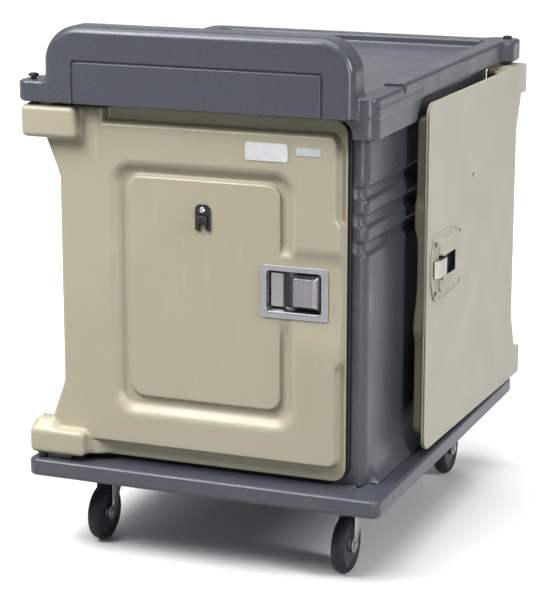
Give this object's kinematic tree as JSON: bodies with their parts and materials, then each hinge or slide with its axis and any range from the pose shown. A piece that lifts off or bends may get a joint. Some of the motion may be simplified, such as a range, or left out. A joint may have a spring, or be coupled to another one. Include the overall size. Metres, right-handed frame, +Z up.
{
  "type": "insulated food carrier",
  "caption": "Two-ended insulated meal cart on casters, a tray compartment with its own latched door at each end, a push handle and a railed top.",
  "frame": {"origin": "on the floor, under the middle of the base slab's plan rectangle", "axes": "+X to the right of someone facing the front door, +Y from the front door end to the rear door end, +Z up"},
  "size_m": [0.8389, 1.0443, 1.18],
  "materials": {
    "slate_plastic": "moulded polyethylene, fine pebble, slate blue",
    "cream_plastic": "moulded polyethylene, fine pebble, warm beige",
    "cream_skin": "smooth light beige",
    "foam": "closed-cell urethane foam, hidden",
    "seal_rubber": "soft black seal",
    "stainless": "brushed and polished",
    "black_plastic": "satin black",
    "zinc_steel": "zinc plated",
    "white_label": "blank white plate",
    "hub_plastic": "dark grey nylon",
    "tyre_rubber": "soft grey-black tread"
  },
  "bodies": {
    "cart": {"base_slab": "slate_plastic", "body_shell": "slate_plastic", "insulation_core": "foam", "top_cover": "slate_plastic", "front_liner": "cream_skin", "front_gasket": "seal_rubber", "front_strike_plate": "stainless", "front_upper_hinge_pin": "black_plastic", "front_lower_hinge_pin": "black_plastic", "rear_liner": "cream_skin", "rear_gasket": "seal_rubber", "rear_strike_plate": "stainless", "rear_upper_hinge_pin": "black_plastic", "rear_lower_hinge_pin": "black_plastic", "front_left_caster_plate": "zinc_steel", "front_right_caster_plate": "zinc_steel", "rear_left_caster_fork": "zinc_steel", "rear_right_caster_fork": "zinc_steel", "rear_left_axle_bolt": "zinc_steel", "rear_right_axle_bolt": "zinc_steel"},
    "front_door": {"front_door_shell": "cream_plastic", "front_door_skin": "cream_skin", "front_door_foam": "foam", "front_upper_hinge_bush": "black_plastic", "front_lower_hinge_bush": "black_plastic", "front_latch_pan": "stainless", "front_latch_back_plate": "cream_skin", "front_clip_base": "black_plastic", "front_clip_screw": "stainless", "front_label_plate": "white_label", "front_data_plate": "zinc_steel"},
    "rear_door": {"rear_door_shell": "cream_plastic", "rear_door_skin": "cream_skin", "rear_door_foam": "foam", "rear_upper_hinge_bush": "black_plastic", "rear_lower_hinge_bush": "black_plastic", "rear_latch_pan": "stainless", "rear_latch_back_plate": "cream_skin", "rear_clip_base": "black_plastic", "rear_clip_screw": "stainless"},
    "front_paddle": {"front_latch_paddle": "stainless"},
    "front_bolt": {"front_latch_bolt": "stainless"},
    "front_clip": {"front_clip_lever": "black_plastic"},
    "rear_paddle": {"rear_latch_paddle": "stainless"},
    "rear_bolt": {"rear_latch_bolt": "stainless"},
    "rear_clip": {"rear_clip_lever": "black_plastic"},
    "front_left_caster": {"front_left_caster_fork": "zinc_steel", "front_left_axle_bolt": "zinc_steel"},
    "front_right_caster": {"front_right_caster_fork": "zinc_steel", "front_right_axle_bolt": "zinc_steel"},
    "front_left_wheel": {"front_left_wheel_hub": "hub_plastic", "front_left_tyre": "tyre_rubber"},
    "front_right_wheel": {"front_right_wheel_hub": "hub_plastic", "front_right_tyre": "tyre_rubber"},
    "rear_left_wheel": {"rear_left_wheel_hub": "hub_plastic", "rear_left_tyre": "tyre_rubber"},
    "rear_right_wheel": {"rear_right_wheel_hub": "hub_plastic", "rear_right_tyre": "tyre_rubber"}
  },
  "joints": [
    {"name": "front_door_hinge", "type": "hinge", "parent": "cart", "child": "front_door", "pos_m": [-0.382, -0.497, 0], "axis": [0, 0, -1], "range_deg": [0, 271.5]},
    {"name": "rear_door_hinge", "type": "hinge", "parent": "cart", "child": "rear_door", "pos_m": [0.382, 0.497, 0], "axis": [0, 0, -1], "range_deg": [-271.5, 0]},
    {"name": "front_latch_paddle_pull", "type": "hinge", "parent": "front_door", "child": "front_paddle", "pos_m": [0.257, -0.472, 0.64], "axis": [0, 0, 1], "range_deg": [0, 24], "stiffness_Nm_per_rad": 0.3},
    {"name": "front_latch_bolt_slide", "type": "slide", "parent": "front_door", "child": "front_bolt", "axis": [-1, 0, 0], "range_m": [0, 0.016], "stiffness_N_per_m": 60},
    {"name": "front_clip_lever_lift", "type": "hinge", "parent": "front_door", "child": "front_clip", "pos_m": [0, -0.4834, 0.788], "axis": [-1, 0, 0], "range_deg": [0, 20], "stiffness_Nm_per_rad": 0.05},
    {"name": "rear_latch_paddle_pull", "type": "hinge", "parent": "rear_door", "child": "rear_paddle", "pos_m": [0.39026, -0.14244, 0.64], "axis": [0, 0, 1], "range_deg": [0, 24], "stiffness_Nm_per_rad": 0.3},
    {"name": "rear_latch_bolt_slide", "type": "slide", "parent": "rear_door", "child": "rear_bolt", "axis": [0.0262, 0.9997, 0], "range_m": [0, 0.016], "stiffness_N_per_m": 60},
    {"name": "rear_clip_lever_lift", "type": "hinge", "parent": "rear_door", "child": "rear_clip", "pos_m": [0.3856, 0.11478, 0.788], "axis": [0.0262, 0.9997, 0], "range_deg": [0, 20], "stiffness_Nm_per_rad": 0.05},
    {"name": "front_left_caster_swivel", "type": "hinge", "parent": "cart", "child": "front_left_caster", "pos_m": [-0.291, -0.352, 0.147], "axis": [0, 0, 1], "continuous": true},
    {"name": "front_left_wheel_spin", "type": "hinge", "parent": "front_left_caster", "child": "front_left_wheel", "pos_m": [-0.291, -0.382, 0.0635], "axis": [1, 0, 0], "continuous": true},
    {"name": "rear_left_wheel_spin", "type": "hinge", "parent": "cart", "child": "rear_left_wheel", "pos_m": [-0.291, 0.354, 0.0635], "axis": [1, 0, 0], "continuous": true},
    {"name": "front_right_caster_swivel", "type": "hinge", "parent": "cart", "child": "front_right_caster", "pos_m": [0.291, -0.352, 0.147], "axis": [0, 0, 1], "continuous": true},
    {"name": "front_right_wheel_spin", "type": "hinge", "parent": "front_right_caster", "child": "front_right_wheel", "pos_m": [0.291, -0.382, 0.0635], "axis": [1, 0, 0], "continuous": true},
    {"name": "rear_right_wheel_spin", "type": "hinge", "parent": "cart", "child": "rear_right_wheel", "pos_m": [0.291, 0.354, 0.0635], "axis": [1, 0, 0], "continuous": true}
  ],
  "couplings": [
    {"joint": "front_latch_bolt_slide", "follows": "front_latch_paddle_pull", "m_per_rad": 0.038197},
    {"joint": "rear_latch_bolt_slide", "follows": "rear_latch_paddle_pull", "m_per_rad": 0.038197}
  ]
}
